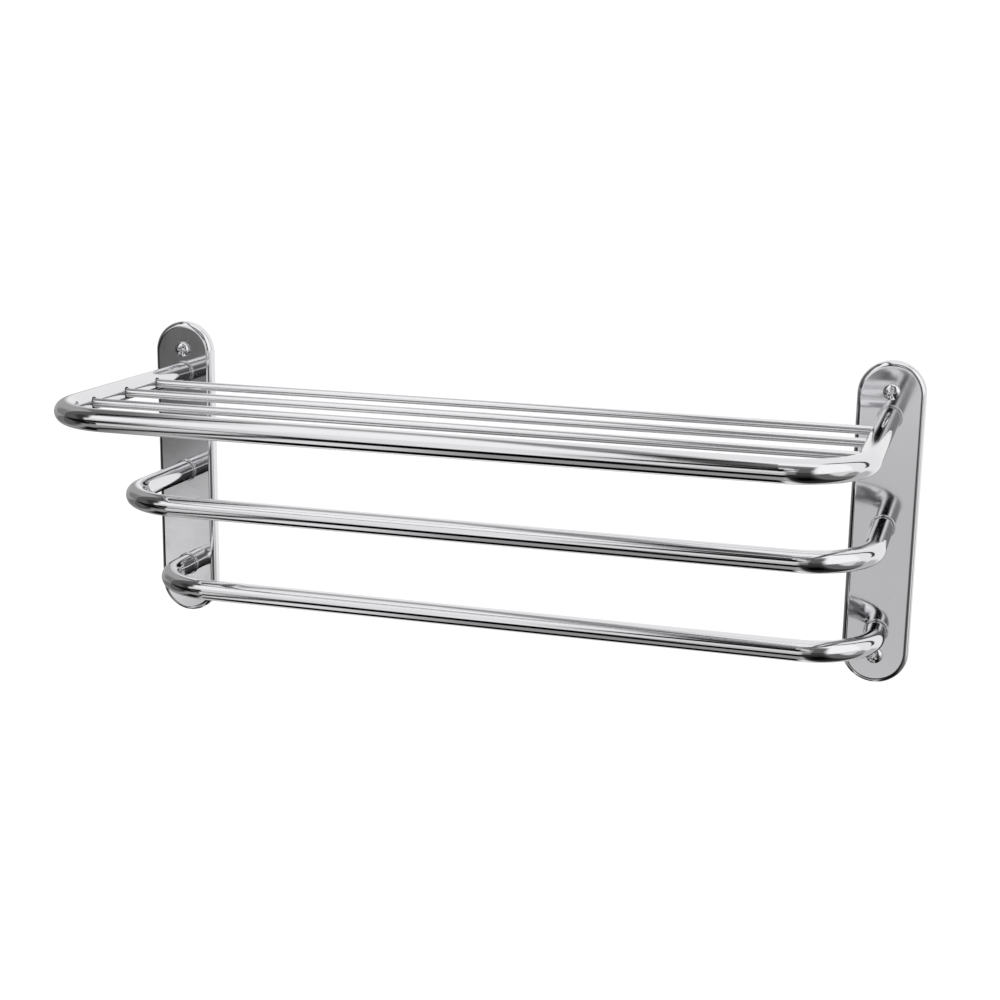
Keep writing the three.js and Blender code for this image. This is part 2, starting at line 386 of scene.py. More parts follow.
def hairpin_tree():
    """Bends a line of straight runs to a radius and draws the two round skins of a tube along it."""
    tree, nodes, links, given = node_tree(
        "hairpin_tube",
        floats=("Bend Radius", "Tube Radius", "Bore Radius"),
        counts=("Bend Steps", "Tube Sides"),
    )
    line = nodes.new("GeometryNodeMeshToCurve")
    links.new(given.outputs["Geometry"], line.inputs["Mesh"])
    bend = nodes.new("GeometryNodeFilletCurve")
    bend.mode = "POLY"
    links.new(line.outputs["Curve"], bend.inputs["Curve"])
    links.new(given.outputs["Bend Radius"], bend.inputs["Radius"])
    links.new(given.outputs["Bend Steps"], bend.inputs["Count"])
    join = nodes.new("GeometryNodeJoinGeometry")
    for socket in ("Bore Radius", "Tube Radius"):  # the last joined comes first in the mesh
        section = nodes.new("GeometryNodeCurvePrimitiveCircle")
        links.new(given.outputs["Tube Sides"], section.inputs["Resolution"])
        links.new(given.outputs[socket], section.inputs["Radius"])
        sweep = nodes.new("GeometryNodeCurveToMesh")
        links.new(bend.outputs["Curve"], sweep.inputs["Curve"])
        links.new(section.outputs["Curve"], sweep.inputs["Profile Curve"])
        links.new(sweep.outputs["Mesh"], join.inputs["Geometry"])
    close_tree(tree, given, join.outputs["Geometry"])
    return tree


def close_ends(piece):
    """Joins a tube's outer and inner skins at both ends, so that it is one closed wall."""
    wall = bmesh.new()
    wall.from_mesh(piece.data)
    wall.verts.ensure_lookup_table()
    half = len(wall.verts) // 2
    for first in (0, half - TUBE_SIDES):
        outer = [wall.verts[first + side] for side in range(TUBE_SIDES)]
        inner = [wall.verts[half + first + side] for side in range(TUBE_SIDES)]
        skin(wall, outer, inner)
    bmesh.ops.recalc_face_normals(wall, faces=wall.faces)
    wall.to_mesh(piece.data)
    wall.free()


def cut_away(piece, cutter):
    """Takes a closed form out of a piece and removes the form."""
    cut = piece.modifiers.new("cut", "BOOLEAN")
    cut.operation = "DIFFERENCE"
    cut.solver = "EXACT"
    cut.object = cutter
    bpy.context.view_layer.update()
    evaluated = piece.evaluated_get(bpy.context.evaluated_depsgraph_get())
    whole = piece.data
    piece.data = bpy.data.meshes.new_from_object(evaluated)
    piece.modifiers.remove(cut)
    piece.data.name = whole.name
    bpy.data.meshes.remove(whole)
    bpy.data.objects.remove(cutter)


def unbent(points, arm, front, bend, height):
    """Where points on a hairpin would be if it were straight, and the way out from its middle line."""
    side = np.where(points[:, 0] < 0, -1.0, 1.0)
    x = np.abs(points[:, 0])
    y = points[:, 1]
    rise = points[:, 2] - height
    past = x - (arm - bend)
    beyond = -(y - (front + bend))
    angle = np.arctan2(past, beyond)
    on_front = past <= 0
    on_arm = (beyond <= 0) & ~on_front
    along = np.where(on_front, x, arm - bend + bend * angle)
    along = np.where(on_arm, arm - bend + bend * math.pi / 2 - beyond, along)
    out = np.hypot(past, beyond) - bend
    out = np.where(on_front, front - y, out)
    out = np.where(on_arm, x - arm, out)
    toward_side = np.where(on_front, 0.0, np.sin(angle))
    toward_side = np.where(on_arm, 1.0, toward_side)
    toward_front = np.where(on_front, 1.0, np.cos(angle))
    toward_front = np.where(on_arm, 0.0, toward_front)
    away = np.stack([side * toward_side * out, -toward_front * out, rise], axis=1)
    away /= np.linalg.norm(away, axis=1, keepdims=True)
    return np.stack([side * along, out, rise], axis=1), away


def truly_round(data, away):
    """Gives a round wall the normals of a true round, inside and outside. Its other faces stay flat."""
    corners = len(data.loops)
    vertex_of = np.zeros(corners, np.int32)
    data.loops.foreach_get("vertex_index", vertex_of)
    sizes = np.zeros(len(data.polygons), np.int32)
    data.polygons.foreach_get("loop_total", sizes)
    facing = np.zeros(len(data.polygons) * 3)
    data.polygons.foreach_get("normal", facing)
    facing = np.repeat(facing.reshape(-1, 3), sizes, axis=0)
    agreement = (facing * away[vertex_of]).sum(axis=1)
    on_round = np.abs(agreement) > ROUND_AGREEMENT
    normals = np.where(on_round[:, None], np.sign(agreement)[:, None] * away[vertex_of], facing)
    data.shade_smooth()
    data.normals_split_custom_set(normals.tolist())


def corners_of(data):
    points = np.zeros(len(data.vertices) * 3)
    data.vertices.foreach_get("co", points)
    return points.reshape(-1, 3)


def crosswise_circle(at, radius, sides):
    turns = [2 * math.pi * side / sides for side in range(sides)]
    return [(at.x, at.y + radius * math.cos(turn), at.z + radius * math.sin(turn)) for turn in turns]


def round_bars(name, lines, radius, sides, material):
    """Solid round bars across the rack, each from one point to another."""
    forms = bmesh.new()
    for start, end in lines:
        ends = [add_loop(forms, crosswise_circle(at, radius, sides)) for at in (start, end)]
        skin(forms, *ends)
        forms.faces.new(ends[0])
        forms.faces.new(ends[1])
    return finished(forms, name, material)


TUBE_GRAIN = (2600.0, 90.0, 90.0)  # tubes and rods are buffed as they turn, so the lines run round them
tube_chrome = buffed_chrome("tube_chrome", TUBE_GRAIN, attribute="unbent")
hairpin = hairpin_tree()

for node, name in (
    ("shelf_frame_tube", "shelf_frame"),
    ("middle_bar_tube", "middle_bar"),
    ("lower_bar_tube", "lower_bar"),
):
    low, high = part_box(node)
    tube_radius = (high.z - low.z) / 2
    height = (high.z + low.z) / 2
    arm = high.x - tube_radius
    front = low.y + tube_radius
    path = [(-arm, high.y, height), (-arm, front, height), (arm, front, height), (arm, high.y, height)]
    tube = grown(
        name,
        hairpin,
        path,
        [(0, 1), (1, 2), (2, 3)],
        {
            "Bend Radius": BEND_RADIUS,
            "Tube Radius": tube_radius,
            "Bore Radius": tube_radius - TUBE_WALL,
            "Bend Steps": BEND_STEPS,
            "Tube Sides": TUBE_SIDES,
            "Material": tube_chrome,
        },
    )
    close_ends(tube)
    if name == "shelf_frame":
        reach = Vector((arm - tube_radius + TUBE_WALL + DRILL_DEPTH, 0, 0))
        spans = [(middle_of(rod) - reach, middle_of(rod) + reach) for rod in RODS]
        cut_away(tube, round_bars("drills", spans, ROD_HOLE, HOLE_SIDES, tube_chrome))
    straight, away = unbent(corners_of(tube.data), arm, front, BEND_RADIUS, height)
    truly_round(tube.data, away)
    unbent_place = tube.data.attributes.new("unbent", "FLOAT_VECTOR", "POINT")
    unbent_place.data.foreach_set("vector", straight.ravel())
    stands_for(tube, "chrome_tube", node)


# ---------------------------------------------------------------- shelf rods
# Three straight steel rods cross the shelf. Their chamfered ends go into the drilled holes in the
# arms, where they are brazed before the frame is plated.
ROD_CHAMFER = 0.0004
ROD_SIDES = 48


def rod_tree():
    """Draws round rods along straight lines, with chamfered ends."""
    tree, nodes, links, given = node_tree(
        "chamfered_rod", floats=("Rod Radius", "End Share"), counts=("Rod Sides",)
    )
    line = nodes.new("GeometryNodeMeshToCurve")
    links.new(given.outputs["Geometry"], line.inputs["Mesh"])
    ends = nodes.new("GeometryNodeCurveEndpointSelection")
    share = nodes.new("GeometryNodeSwitch")
    share.input_type = "FLOAT"
    share.inputs["False"].default_value = 1.0
    links.new(ends.outputs["Selection"], share.inputs["Switch"])
    links.new(given.outputs["End Share"], share.inputs["True"])
    taper = nodes.new("GeometryNodeSetCurveRadius")
    links.new(line.outputs["Curve"], taper.inputs["Curve"])
    links.new(share.outputs["Output"], taper.inputs["Radius"])
    section = nodes.new("GeometryNodeCurvePrimitiveCircle")
    links.new(given.outputs["Rod Sides"], section.inputs["Resolution"])
    links.new(given.outputs["Rod Radius"], section.inputs["Radius"])
    sweep = nodes.new("GeometryNodeCurveToMesh")
    sweep.inputs["Fill Caps"].default_value = True
    links.new(taper.outputs["Curve"], sweep.inputs["Curve"])
    links.new(section.outputs["Curve"], sweep.inputs["Profile Curve"])
    radius = nodes.new("GeometryNodeInputRadius")
    links.new(radius.outputs["Radius"], sweep.inputs["Scale"])
    close_tree(tree, given, sweep.outputs["Mesh"])
    return tree


ROD_METALLIC = 0.84  # the plating on the rods is slightly milky
rod_chrome = buffed_chrome("rod_chrome", TUBE_GRAIN, haze_range=(0.05, 0.09), metallic=ROD_METALLIC)
rod_maker = rod_tree()

for name in RODS:
    low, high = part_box(name)
    centre = (low + high) / 2
    rod_radius = (high.z - low.z) / 2
    stations = (low.x, low.x + ROD_CHAMFER, high.x - ROD_CHAMFER, high.x)
    rod = grown(
        name.replace("shelf_rod_", "") + "_shelf_rod",
        rod_maker,
        [(x, centre.y, centre.z) for x in stations],
        [(0, 1), (1, 2), (2, 3)],
        {
            "Rod Radius": rod_radius,
            "End Share": 1 - ROD_CHAMFER / rod_radius,
            "Rod Sides": ROD_SIDES,
            "Material": rod_chrome,
        },
    )
    away = corners_of(rod.data) - np.array(centre)
    away[:, 0] = 0
    away /= np.maximum(np.linalg.norm(away, axis=1, keepdims=True), 1e-9)
    truly_round(rod.data, away)
    stands_for(rod, "chrome_rod", name)


# ---------------------------------------------------------------- collars
# A thin turned ring stands on the plate round the foot of each arm and covers the joint. It is
# rounded over at its edges, and a hair's breadth of shadow shows between it and the tube.
COLLAR_ROUNDING = 0.0003
COLLAR_STAND = 0.0011  # how far it stands off the plate
COLLAR_WIDTH = 0.0008
COLLAR_SIDES = 96
ROUNDING_STEPS = 6
RING_SHARP_ANGLE = math.radians(40)
SEAT_GAP = 0.0003  # between pieces that touch


def collar_tree():
    """Sweeps a rounded section round a circle and stands one such ring on every point."""
    tree, nodes, links, given = node_tree(
        "collar_ring",
        floats=("Ring Radius", "Section Width", "Section Height", "Rounding"),
        counts=("Ring Sides",),
    )
    ring = nodes.new("GeometryNodeCurvePrimitiveCircle")
    links.new(given.outputs["Ring Sides"], ring.inputs["Resolution"])
    links.new(given.outputs["Ring Radius"], ring.inputs["Radius"])
    section = nodes.new("GeometryNodeCurvePrimitiveQuadrilateral")
    links.new(given.outputs["Section Width"], section.inputs["Width"])
    links.new(given.outputs["Section Height"], section.inputs["Height"])
    soften = nodes.new("GeometryNodeFilletCurve")
    soften.mode = "POLY"
    soften.inputs["Count"].default_value = ROUNDING_STEPS
    links.new(section.outputs["Curve"], soften.inputs["Curve"])
    links.new(given.outputs["Rounding"], soften.inputs["Radius"])
    sweep = nodes.new("GeometryNodeCurveToMesh")
    links.new(ring.outputs["Curve"], sweep.inputs["Curve"])
    links.new(soften.outputs["Curve"], sweep.inputs["Profile Curve"])
    stand = nodes.new("GeometryNodeTransform")
    stand.inputs["Rotation"].default_value = (math.pi / 2, 0.0, 0.0)
    links.new(sweep.outputs["Mesh"], stand.inputs["Geometry"])
    place = nodes.new("GeometryNodeInstanceOnPoints")
    links.new(given.outputs["Geometry"], place.inputs["Points"])
    links.new(stand.outputs["Geometry"], place.inputs["Instance"])
    close_tree(tree, given, place.outputs["Instances"])
    return tree


TRIM_GRAIN = (90.0, 2600.0, 90.0)  # collars and screw heads are buffed as they spin about y
trim_chrome = buffed_chrome("trim_chrome", TRIM_GRAIN)
joints = [f"{side}_{tier}" for side in ("left", "right") for tier in TIERS]
collar_nodes = [joint + "_collar" for joint in joints]
collar_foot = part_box(collar_nodes[0])[1].y
collar_inner = tube_radius + SEAT_GAP
collars = grown(
    "tube_collars",
    collar_tree(),
    [(middle_of(node).x, collar_foot - COLLAR_STAND / 2, middle_of(node).z) for node in collar_nodes],
    [],
    {
        "Ring Radius": collar_inner + COLLAR_WIDTH / 2,
        "Section Width": COLLAR_WIDTH,
        "Section Height": COLLAR_STAND,
        "Rounding": COLLAR_ROUNDING,
        "Ring Sides": COLLAR_SIDES,
        "Material": trim_chrome,
    },
)
collars.data.shade_smooth()
collars.data.set_sharp_from_angle(angle=RING_SHARP_ANGLE)
stands_for(collars, "chrome_trim", *collar_nodes)


# ---------------------------------------------------------------- wall screws
# Four chromed pan-head screws hold the rack to the wall through the plates: a low dome with a
# tapered cross recess, and a coarse thread cut down to a point, which goes into a plug in the wall.
SCREW_SIDES = 48
DOME_RINGS = 14
HEAD_HEIGHT = 0.0038
CROSS_SPAN = 0.0066
CROSS_WIDTH = 0.0015
CROSS_DEPTH = 0.002
CUTTER_RISE = 0.001  # how far a recess cutter stands out of the head
BLUNTNESS = 0.02  # what is left of the screw's root at its very point


def threaded_screw(name, material, shape):
    """A screw about the y axis, its head towards -y and the underside of its head at the origin."""
    body = bmesh.new()

    def ring(y, radius, thread=None):
        points = []
        for side in range(SCREW_SIDES):
            turn = 2 * math.pi * side / SCREW_SIDES
            r = radius if thread is None else thread(y, turn)
            points.append((r * math.cos(turn), y, r * math.sin(turn)))
        return add_loop(body, points)

    def thread(y, turn):
        to_tip = (shape["length"] - y) / shape["point"]
        crest = shape["crest"] * min(1.0, to_tip + 2 * BLUNTNESS)
        root = shape["root"] * min(1.0, to_tip + BLUNTNESS)
        phase = (y / shape["pitch"] - turn / (2 * math.pi)) % 1.0
        ridge = min(1.0, max(0.0, (shape["ridge"] - abs(phase - 0.5)) / shape["flank"]))
        cut = min(1.0, max(0.0, (y - shape["plain"]) / shape["pitch"]))
        return cut * (root + (crest - root) * ridge) + (1 - cut) * shape["neck"]

    top = body.verts.new((0, -shape["head_height"], 0))
    rings = []
    straight = shape["head_edge"]
    dome = shape["head_height"] - straight
    for step in range(1, DOME_RINGS + 1):
        angle = math.pi / 2 * step / DOME_RINGS
        rings.append(ring(-straight - dome * math.cos(angle), shape["head_radius"] * math.sin(angle)))
    rings.append(ring(-shape["head_bevel"], shape["head_radius"]))
    rings.append(ring(0, shape["head_radius"] - shape["head_bevel"]))
    rings.append(ring(0, shape["neck"]))
    y = 0.0
    while y < shape["length"] - shape["pitch"] / shape["stations"]:
        y += shape["pitch"] / shape["stations"]
        rings.append(ring(y, None, thread))
    tip = body.verts.new((0, shape["length"], 0))
    for near, far in zip(rings, rings[1:]):
        skin(body, near, far)
    for i in range(SCREW_SIDES):
        j = (i + 1) % SCREW_SIDES
        body.faces.new((top, rings[0][i], rings[0][j]))
        body.faces.new((tip, rings[-1][j], rings[-1][i]))
    return finished(body, name, material)


def cross_cutter(span, width, depth, head_height):
    """A cross that leaves the driver's recess in a screw's head. Its wings taper more than its sides."""
    form = bmesh.new()
    rings = []
    for y, long_share, short_share in (
        (-head_height - CUTTER_RISE, 1.25, 1.1125),
        (-head_height + depth, 0.42, 0.739),
    ):
        long = span / 2 * long_share
        short = width / 2 * short_share
        outline = []
        for quarter in range(4):
            spin = Matrix.Rotation(quarter * math.pi / 2, 3, "Y")
            for x, z in ((short, short), (long, short), (long, -short)):
                outline.append(tuple(spin @ Vector((x, y, z))))
        rings.append(add_loop(form, outline))
    skin(form, *rings)
    form.faces.new(rings[0])
    form.faces.new(rings[1])
    return finished(form, "cross_cutter", None, sharp_angle=10)


def set_out_tree():
    """Stands a copy of a part on every point, turned about y by the point's own turn."""
    tree, nodes, links, given = node_tree("set_out", objects=("Part",))
    part = nodes.new("GeometryNodeObjectInfo")
    links.new(given.outputs["Part"], part.inputs["Object"])
    turn = nodes.new("GeometryNodeInputNamedAttribute")
    turn.data_type = "FLOAT"
    turn.inputs["Name"].default_value = "turn"
    about_y = nodes.new("ShaderNodeCombineXYZ")
    links.new(turn.outputs["Attribute"], about_y.inputs["Y"])
    place = nodes.new("GeometryNodeInstanceOnPoints")
    links.new(given.outputs["Geometry"], place.inputs["Points"])
    links.new(part.outputs["Geometry"], place.inputs["Instance"])
    links.new(about_y.outputs["Vector"], place.inputs["Rotation"])
    close_tree(tree, given, place.outputs["Instances"])
    return tree


def set_out(name, tree, form, seeds, turns, material):
    """One mesh with a copy of the form at every seed. The form itself is removed."""
    data = bpy.data.meshes.new(name + "_seed")
    data.from_pydata(seeds, [], [])
    data.attributes.new("turn", "FLOAT", "POINT").data.foreach_set("value", turns)
    piece = grown_from(name, tree, data, {"Part": form, "Material": material})
    bpy.data.objects.remove(form)
    return piece


set_out_maker = set_out_tree()
wall_screw_nodes = [
    f"{side}_{level}_wall_screw" for side in ("left", "right") for level in ("upper", "lower")
]
under_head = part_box("left_plate_cover")[0].y - SEAT_GAP
SCREW_TURNS = (0.35, -0.5, -0.15, 0.7)  # as each happened to stop

wall_screw = threaded_screw(
    "wall_screw_form",
    trim_chrome,
    {
        "head_radius": 0.006,
        "head_height": HEAD_HEIGHT,
        "head_edge": 0.001,
        "head_bevel": 0.0002,
        "neck": 0.0029,
        "crest": 0.003,
        "root": 0.0021,
        "pitch": 0.0026,
        "stations": 16,
        "ridge": 0.24,
        "flank": 0.18,
        "plain": 0.012,
        "length": 0.040,
        "point": 0.007,
    },
)
cut_away(wall_screw, cross_cutter(CROSS_SPAN, CROSS_WIDTH, CROSS_DEPTH, HEAD_HEIGHT))
wall_screws = set_out(
    "wall_screws",
    set_out_maker,
    wall_screw,
    [(middle_of(node).x, under_head, middle_of(node).z) for node in wall_screw_nodes],
    SCREW_TURNS,
    trim_chrome,
)
stands_for(wall_screws, "chrome_trim", *wall_screw_nodes)


# ---------------------------------------------------------------- fixing screws
# From inside each plate an M4 screw with a low round head and a hexagon socket draws an arm tight
# against the front. Its thread goes into the tapped plug in the end of the arm.
HEX_ACROSS_FLATS = 0.0025
HEX_DEPTH = 0.0013
FIXING_HEAD_HEIGHT = 0.0022
TURN_BETWEEN = 0.9  # radians from one screw's socket to the next one's


def hex_cutter(across_flats, depth, head_height):
    """A straight hexagon that leaves the socket in a screw's head."""
    form = bmesh.new()
    corner = across_flats / math.sqrt(3)
    reaches = (-head_height - CUTTER_RISE, -head_height + depth)
    rings = [add_loop(form, circle_points(0, 0, y, corner, 6)) for y in reaches]
    skin(form, *rings)
    form.faces.new(rings[0])
    form.faces.new(rings[1])
    return finished(form, "hex_cutter", None, sharp_angle=10)


fixing_nodes = [joint + "_fixing_screw" for joint in joints]
low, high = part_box(fixing_nodes[0])
fixing_screw = threaded_screw(
    "fixing_screw_form",
    zinc_steel,
    {
        "head_radius": (high.z - low.z) / 2,
        "head_height": FIXING_HEAD_HEIGHT,
        "head_edge": 0.0003,
        "head_bevel": 0.0001,
        "neck": 0.00195,
        "crest": 0.002,
        "root": 0.0016,
        "pitch": 0.0007,
        "stations": 6,
        "ridge": 0.45,
        "flank": 0.45,
        "plain": 0.003,
        "length": high.y - low.y - FIXING_HEAD_HEIGHT,
        "point": 0.0008,
    },
)
cut_away(fixing_screw, hex_cutter(HEX_ACROSS_FLATS, HEX_DEPTH, FIXING_HEAD_HEIGHT))
fixing_screw.data.transform(Matrix.Rotation(math.pi, 4, "Z"))
fixing_screws = set_out(
    "fixing_screws",
    set_out_maker,
    fixing_screw,
    [(middle_of(node).x, high.y - FIXING_HEAD_HEIGHT, middle_of(node).z) for node in fixing_nodes],
    [TURN_BETWEEN * number for number in range(len(fixing_nodes))],
    zinc_steel,
)
stands_for(fixing_screws, "zinc_steel", *fixing_nodes)


# ---------------------------------------------------------------- lock washers
# A spring washer lies under each fixing screw's head: one turn of square steel wire, cut across
# at a slant.
WASHER_OPENING = 0.25  # radians of the turn left open
WASHER_SIDES = 72


def washer_tree():
    """Sweeps a flat section round an open arc and lays one such ring on every point."""
    tree, nodes, links, given = node_tree(
        "spring_washer", floats=("Ring Radius", "Section Width", "Section Height", "Open Angle")
    )
    sweep_angle = nodes.new("ShaderNodeMath")
    sweep_angle.operation = "SUBTRACT"
    sweep_angle.inputs[0].default_value = 2 * math.pi
    links.new(given.outputs["Open Angle"], sweep_angle.inputs[1])
    arc = nodes.new("GeometryNodeCurveArc")
    arc.inputs["Resolution"].default_value = WASHER_SIDES
    links.new(given.outputs["Ring Radius"], arc.inputs["Radius"])
    links.new(sweep_angle.outputs["Value"], arc.inputs["Sweep Angle"])
    section = nodes.new("GeometryNodeCurvePrimitiveQuadrilateral")
    links.new(given.outputs["Section Width"], section.inputs["Width"])
    links.new(given.outputs["Section Height"], section.inputs["Height"])
    sweep = nodes.new("GeometryNodeCurveToMesh")
    sweep.inputs["Fill Caps"].default_value = True
    links.new(arc.outputs["Curve"], sweep.inputs["Curve"])
    links.new(section.outputs["Curve"], sweep.inputs["Profile Curve"])
    lay = nodes.new("GeometryNodeTransform")
    lay.inputs["Rotation"].default_value = (math.pi / 2, 0.0, 0.0)
    links.new(sweep.outputs["Mesh"], lay.inputs["Geometry"])
    place = nodes.new("GeometryNodeInstanceOnPoints")
    links.new(given.outputs["Geometry"], place.inputs["Points"])
    links.new(lay.outputs["Geometry"], place.inputs["Instance"])
    close_tree(tree, given, place.outputs["Instances"])
    return tree


washer_nodes = [joint + "_lock_washer" for joint in joints]
low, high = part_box(washer_nodes[0])
washer_outer = (high.z - low.z) / 2
lock_washers = grown(
    "lock_washers",
    washer_tree(),
    [(middle_of(node).x, (low.y + high.y) / 2, middle_of(node).z) for node in fixing_nodes],
    [],
    {
        "Ring Radius": (washer_outer + FIXING_HOLE) / 2,
        "Section Width": washer_outer - FIXING_HOLE,
        "Section Height": high.y - low.y,
        "Open Angle": WASHER_OPENING,
        "Material": zinc_steel,
    },
)
lock_washers.data.shade_smooth()
lock_washers.data.set_sharp_from_angle(angle=RING_SHARP_ANGLE)
stands_for(lock_washers, "zinc_steel", *washer_nodes)


# ---------------------------------------------------------------- end plugs
# A tapped steel plug is pressed into the end of each arm. It can't be seen once the rack is
# together, so the modelled plugs stay as they are and only take the zinc finish.
for joint in joints:
    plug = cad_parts[joint + "_end_plug"]
    plug.data.materials.clear()
    plug.data.materials.append(zinc_steel)


# ---------------------------------------------------------------- floor
# A plain pale floor, well below the rack, which hangs on a wall that isn't drawn.
FLOOR_LEVEL = -0.62
FLOOR_HALF = 12.0

floor_data = bpy.data.meshes.new("floor")
floor_corners = [
    (x * FLOOR_HALF, y * FLOOR_HALF, FLOOR_LEVEL) for x, y in ((-1, -1), (1, -1), (1, 1), (-1, 1))
]
floor_data.from_pydata(floor_corners, [], [(0, 1, 2, 3)])
floor = bpy.data.objects.new("floor", floor_data)
scene.collection.objects.link(floor)
pale = bpy.data.materials.new("pale_floor")
pale.use_nodes = True
matt_paint = pale.node_tree.nodes["Principled BSDF"]
matt_paint.inputs["Base Color"].default_value = (0.95, 0.95, 0.95, 1.0)
matt_paint.inputs["Roughness"].default_value = 0.9
floor_data.materials.append(pale)
floor.visible_glossy = False


# ---------------------------------------------------------------- light tent
# Chrome shows only what stands round it: a big pale tent, with soft lights and dark cloths hung
# in it. Only reflections see the tent, and it is so far off that it looks the same from any spot.
TENT_RADIUS = 30.0
CHROME_SHARE = 0.865  # how much of the light the plating gives back
# Each panel: from where to where it hangs to the side (degrees, 90 is +X) and round the X axis (0 is
# in front, 90 overhead and 180 behind the wall), how soft its edges are each way, its grey, how much
# it leans to the side as it goes round, and how much it rises as it goes to the side. Each panel
# covers those before it.
PANELS = (
    # a pale cloth overhead
    ((-28, 100), (46, 84), (6, 12), 0.94, 0, 0),
    # grey cloths behind the wall, darker to the far left
    ((-95, -30), (104, 181), (10, 12), 0.60, 0, 0),
    ((-95, -34), (-181, -140), (12, 12), 0.56, 0, 0),
    ((-95, -58), (104, 181), (14, 14), 0.46, 0, 0),
    # the dim left side of the tent
    ((-95, -27), (-120, 104), (7, 12), 0.34, 0, 0),
    ((-62, -44), (-70, 64), (12, 20), 0.21, 0, 0),
    # five bright panels in front, left of the middle
    ((-50, -20), (6, 31), (5, 9), 0.80, 0, 0),
    ((-40, -20), (26, 58), (8, 12), 0.93, 0.15, 0),
    ((-38, -20), (-8, 10), (8, 8), 0.81, 0, 0),
    ((-30, 0), (20, 50), (6, 8), 0.93, 0, 0),
    ((-24, -9), (4, 34), (5, 8), 0.87, 0, 0),
    # pale and grey cloths on the ground at the left
    ((-52, -24), (-158, -28), (8, 12), 0.53, 0, 0),
    ((-95, -50), (-156, -116), (8, 14), 0.42, 0, 0),
    ((-33, -18), (-33, -13.6), (5, 5), 0.81, 0, 0),
    # black cloths standing at the left, and the shadows between them
    ((-95, -39), (-42, 2), (10, 14), 0.09, 0, 0.2),
    ((-43, -31), (-26, -7), (3, 8), 0.04, 0, -1.2),
    ((-46, -25.4), (-14.2, -6.5), (4, 3.5), 0.36, 0.45, 0),
    ((-45, -28), (-8, 9), (3, 5), 0.05, 0, 0),
    ((-43, -30), (-114, -66), (5, 12), 0.09, 0, 0),
    # a pale ground left of the middle
    ((-28, -19), (-122, -34), (5, 12), 0.84, 0, 0),
    ((-19.5, 2), (-90, -36), (6, 10), 0.56, 0, 0),
    # two black bands across that ground
    ((-25, -9), (-38, -12), (3, 6), 0.01, 0, -0.5),
    ((-27, -3), (-112, -75), (4, 6), 0.02, 0, -0.5),
    # narrow slanting cloths at the edges of the bright panels
    ((-27, -15), (98, 126), (4, 8), 0.63, -0.2, 0),
    ((-35, -27.5), (98, 146), (3, 10), 0.42, 0, 0),
    ((-32, -24.5), (73, 90), (2, 8), 0.10, 0, 4.6),
    ((-32, -24), (-68, -48), (2, 8), 0.05, 0, 6.3),
    ((-16, -9.5), (58, 108), (3, 10), 0.52, -0.13, 0),
    ((-11, -5), (22, 70), (3, 10), 0.13, -0.07, 0),
    # grey cloths above the front and at its right, a black one between them and a bright gap
    ((-8, 34), (36, 60), (8, 14), 0.44, 0, 0),
    ((-13, 16), (7, 31), (5, 6), 0.05, 0, 0.8),
    ((16, 36), (4, 44), (8, 14), 0.36, 0, 0),
    ((2, 14), (20, 34), (4, 9), 0.82, 0, 0),
    # a pale ground in front, ending in a black band
    ((-13, 5), (-15, 6), (3, 5), 0.83, 0, -0.3),
    ((4, 15), (-15, 8), (6, 7), 0.49, 0, 0),
    ((-10, 3), (-21, -8), (5, 8), 0.71, 0, 0),
    ((-11, 8), (-46, -24), (3, 5), 0.02, 0, 0),
    # a dark ground on the right
    ((3, 40), (-122, -14), (8, 14), 0.18, 0, 0),
    ((14, 38), (-24, 8), (9, 14), 0.24, 0, 0),
    ((10, 30), (-82, -42), (10, 18), 0.05, 0, 0),
    ((36, 60), (-124, -12), (12, 18), 0.38, 0, 0),
    # a bright wall on the right, fading towards the ground
    ((36, 120), (-8, 100), (7, 14), 0.95, -0.15, 0),
    ((60, 120), (-80, -2), (14, 20), 0.82, 0, 0),
    ((58, 80), (-130, -76), (14, 20), 0.55, 0, 0),
    # two dark posts and a pale ground behind the wall
    ((36, 43), (92, 150), (3, 8), 0.14, 0.45, 0),
    ((54, 63), (146, 181), (4, 8), 0.24, 0.35, 0),
    ((-2, 60), (-150, -120), (8, 12), 0.69, 0, 0),
)
TENT_GREY = 0.886  # where no panel hangs
GREY_POWER = 2.2  # from a grey as the eye grades it to an amount of light


def soft_window(here, start, end, softness):
    """1 between start and end, 0 outside, with a smooth change over the softness."""
    rise = np.clip((here - start) / softness + 0.5, 0, 1)
    fall = np.clip((end - here) / softness + 0.5, 0, 1)
    return rise * rise * (3 - 2 * rise) * fall * fall * (3 - 2 * fall)


def tent_light(aside, around):
    """How bright the tent is in each direction."""
    light = np.full(aside.shape, TENT_GREY**GREY_POWER)
    for side_span, round_span, (side_soft, round_soft), grey, lean, rise in PANELS:
        leant = aside - lean * (around - sum(round_span) / 2)
        risen = around - rise * (aside - sum(side_span) / 2)
        cover = soft_window(leant, *side_span, side_soft) * soft_window(risen, *round_span, round_soft)
        light += cover * (grey**GREY_POWER - light)
    return light / CHROME_SHARE


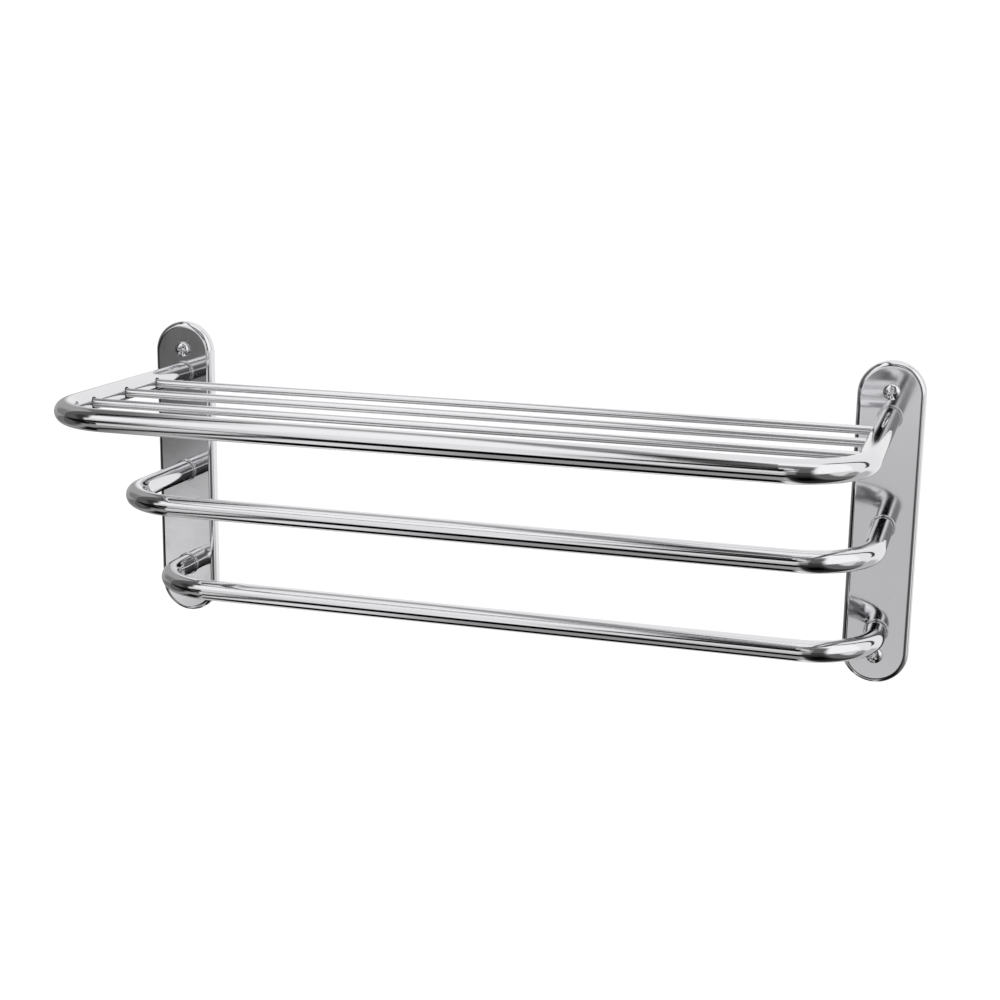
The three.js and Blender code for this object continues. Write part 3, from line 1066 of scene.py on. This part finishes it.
aside, around = np.meshgrid(np.arange(-90, 91), np.arange(-180, 181), indexing="ij")
side_angle = np.radians(aside.ravel())
round_angle = np.radians(around.ravel())
level = np.cos(side_angle)
tent_points = TENT_RADIUS * np.stack(
    [np.sin(side_angle), -level * np.cos(round_angle), level * np.sin(round_angle)], axis=1
)
rows, columns = aside.shape
first = (np.arange(rows - 1)[:, None] * columns + np.arange(columns - 1)[None, :]).ravel()
tent_faces = np.stack([first, first + 1, first + columns + 1, first + columns], axis=1)
tent_data = bpy.data.meshes.new("light_tent")
tent_data.from_pydata(tent_points.tolist(), [], tent_faces.tolist())
light = tent_light(aside.ravel().astype(float), around.ravel().astype(float))
light_of = tent_data.attributes.new("light", "FLOAT_COLOR", "POINT")
light_of.data.foreach_set("color", np.stack([light, light, light, np.ones_like(light)], axis=1).ravel())
tent_cloth = bpy.data.materials.new("tent_cloth")
tent_cloth.use_nodes = True
tent_cloth.cycles.emission_sampling = "NONE"
cloth = tent_cloth.node_tree.nodes
cloth.remove(cloth["Principled BSDF"])
glow = cloth.new("ShaderNodeEmission")
brightness = cloth.new("ShaderNodeAttribute")
brightness.attribute_name = "light"
tent_cloth.node_tree.links.new(brightness.outputs["Color"], glow.inputs["Color"])
tent_cloth.node_tree.links.new(glow.outputs["Emission"], cloth["Material Output"].inputs["Surface"])
tent_data.materials.append(tent_cloth)
tent = bpy.data.objects.new("light_tent", tent_data)
scene.collection.objects.link(tent)
tent.visible_camera = False
tent.visible_diffuse = False
tent.visible_transmission = False
tent.visible_shadow = False


# ---------------------------------------------------------------- studio light
# White from all round, and a camera opposite the rack's right half, a little above it.
CAMERA_PLACE = Vector((0.3618, -1.2537, 0.2933))
LENS = 61.913  # millimetres
AZIMUTH = math.radians(16.664)
ELEVATION = math.radians(12.894)
ROLL = math.radians(0.889)
WHITE_STRENGTH = 1.15

world = bpy.data.worlds.new("white_room")
world.use_nodes = True
white = world.node_tree.nodes["Background"]
white.inputs["Color"].default_value = (1.0, 1.0, 1.0, 1.0)
white.inputs["Strength"].default_value = WHITE_STRENGTH
scene.world = world
world.cycles_visibility.glossy = False

camera_data = bpy.data.cameras.new("camera")
camera_data.lens = LENS
camera_data.sensor_width = 36.0
camera_data.clip_start = 0.05
camera_data.clip_end = 60.0
camera = bpy.data.objects.new("camera", camera_data)
scene.collection.objects.link(camera)
forward = Vector(
    (
        -math.sin(AZIMUTH) * math.cos(ELEVATION),
        math.cos(AZIMUTH) * math.cos(ELEVATION),
        -math.sin(ELEVATION),
    )
)
across = Vector((math.cos(AZIMUTH), math.sin(AZIMUTH), 0.0))
upward = across.cross(forward)
right = across * math.cos(ROLL) + upward * math.sin(ROLL)
top = upward * math.cos(ROLL) - across * math.sin(ROLL)
camera.matrix_world = Matrix(
    (
        (right.x, top.x, -forward.x, CAMERA_PLACE.x),
        (right.y, top.y, -forward.y, CAMERA_PLACE.y),
        (right.z, top.z, -forward.z, CAMERA_PLACE.z),
        (0.0, 0.0, 0.0, 1.0),
    )
)
scene.camera = camera
scene.view_settings.view_transform = "Standard"
